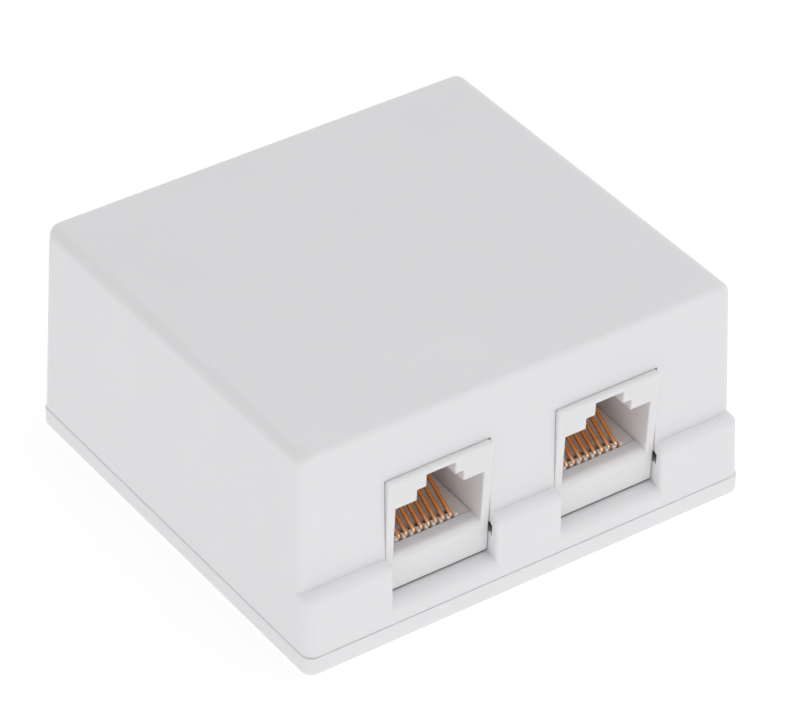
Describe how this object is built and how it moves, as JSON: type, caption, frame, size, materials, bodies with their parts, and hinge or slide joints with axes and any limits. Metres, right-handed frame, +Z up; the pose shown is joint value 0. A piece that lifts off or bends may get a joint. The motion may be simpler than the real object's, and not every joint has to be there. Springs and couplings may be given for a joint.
{
  "type": "surface mount jack box",
  "caption": "Small surface mount housing for structured cabling, with modular data jack ports side by side in its front, a tilt-off cover and punch-down wire caps inside.",
  "frame": {"origin": "middle of the footprint, on the surface the box stands on", "axes": "+Z up from that surface, -Y towards the front with the two ports, +X to the right seen from the front"},
  "size_m": [0.0602, 0.0562, 0.0283],
  "materials": {
    "housing_white": "fine matt moulding",
    "jack_white": "smooth moulding",
    "carrier_white": "smooth moulding",
    "contact_gold": "gold plated, polished",
    "circuit_board": "solder mask over glass epoxy",
    "tinned_bronze": "tin plated",
    "cap_clear": "milky translucent moulding",
    "adhesive_foam": "closed-cell foam tape"
  },
  "bodies": {
    "base": {"base_plate": "housing_white", "adhesive_strips": "adhesive_foam", "jack_housing_left": "jack_white", "contact_carrier_left": "carrier_white", "long_contacts_left": "contact_gold", "short_contacts_left": "contact_gold", "jack_board_left": "circuit_board", "idc_block_left": "carrier_white", "idc_blades_left": "tinned_bronze", "jack_housing_right": "jack_white", "contact_carrier_right": "carrier_white", "long_contacts_right": "contact_gold", "short_contacts_right": "contact_gold", "jack_board_right": "circuit_board", "idc_block_right": "carrier_white", "idc_blades_right": "tinned_bronze"},
    "cover": {"cover": "housing_white"},
    "cap_left_outer": {"idc_cap_left_outer": "cap_clear"},
    "cap_left_inner": {"idc_cap_left_inner": "cap_clear"},
    "cap_right_outer": {"idc_cap_right_outer": "cap_clear"},
    "cap_right_inner": {"idc_cap_right_inner": "cap_clear"}
  },
  "joints": [
    {"name": "cover_tilt", "type": "hinge", "parent": "base", "child": "cover", "pos_m": [0, -0.02795, 0.0025], "axis": [1, 0, 0], "range_deg": [0, 80]},
    {"name": "cap_left_outer_lift", "type": "slide", "parent": "base", "child": "cap_left_outer", "axis": [0, -0.0471, 0.9989], "range_m": [0, 0.0055]},
    {"name": "cap_left_inner_lift", "type": "slide", "parent": "base", "child": "cap_left_inner", "axis": [0, -0.0471, 0.9989], "range_m": [0, 0.0055]},
    {"name": "cap_right_outer_lift", "type": "slide", "parent": "base", "child": "cap_right_outer", "axis": [0, -0.0471, 0.9989], "range_m": [0, 0.0055]},
    {"name": "cap_right_inner_lift", "type": "slide", "parent": "base", "child": "cap_right_inner", "axis": [0, -0.0471, 0.9989], "range_m": [0, 0.0055]}
  ]
}
